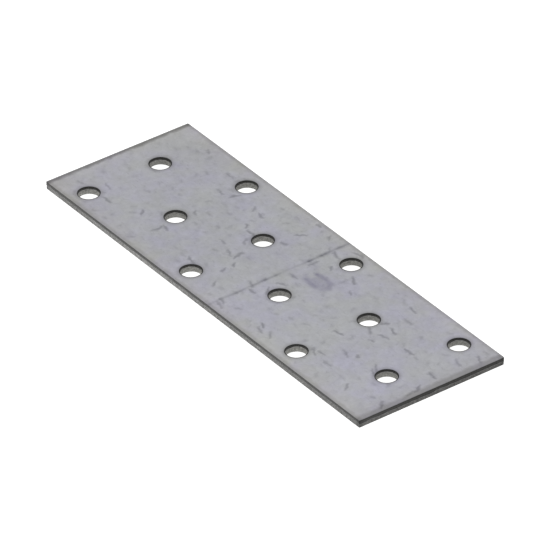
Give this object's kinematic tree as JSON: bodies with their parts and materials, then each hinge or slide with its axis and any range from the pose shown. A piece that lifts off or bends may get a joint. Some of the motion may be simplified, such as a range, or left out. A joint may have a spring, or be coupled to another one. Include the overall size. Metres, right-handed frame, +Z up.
{
  "type": "mending plate",
  "caption": "Flat rectangular mending plate of galvanised steel sheet, punched with staggered rows of round screw holes, for joining two timbers end to end.",
  "frame": {"origin": "centre of the plate's underside", "axes": "+X along the 120 mm length, +Y across the 40 mm width, +Z up through the 2 mm thickness, out of the face the holes were punched from"},
  "size_m": [0.12, 0.04, 0.002],
  "materials": {
    "zinc": "satin"
  },
  "bodies": {
    "root": {"plate": "zinc"}
  },
  "joints": []
}
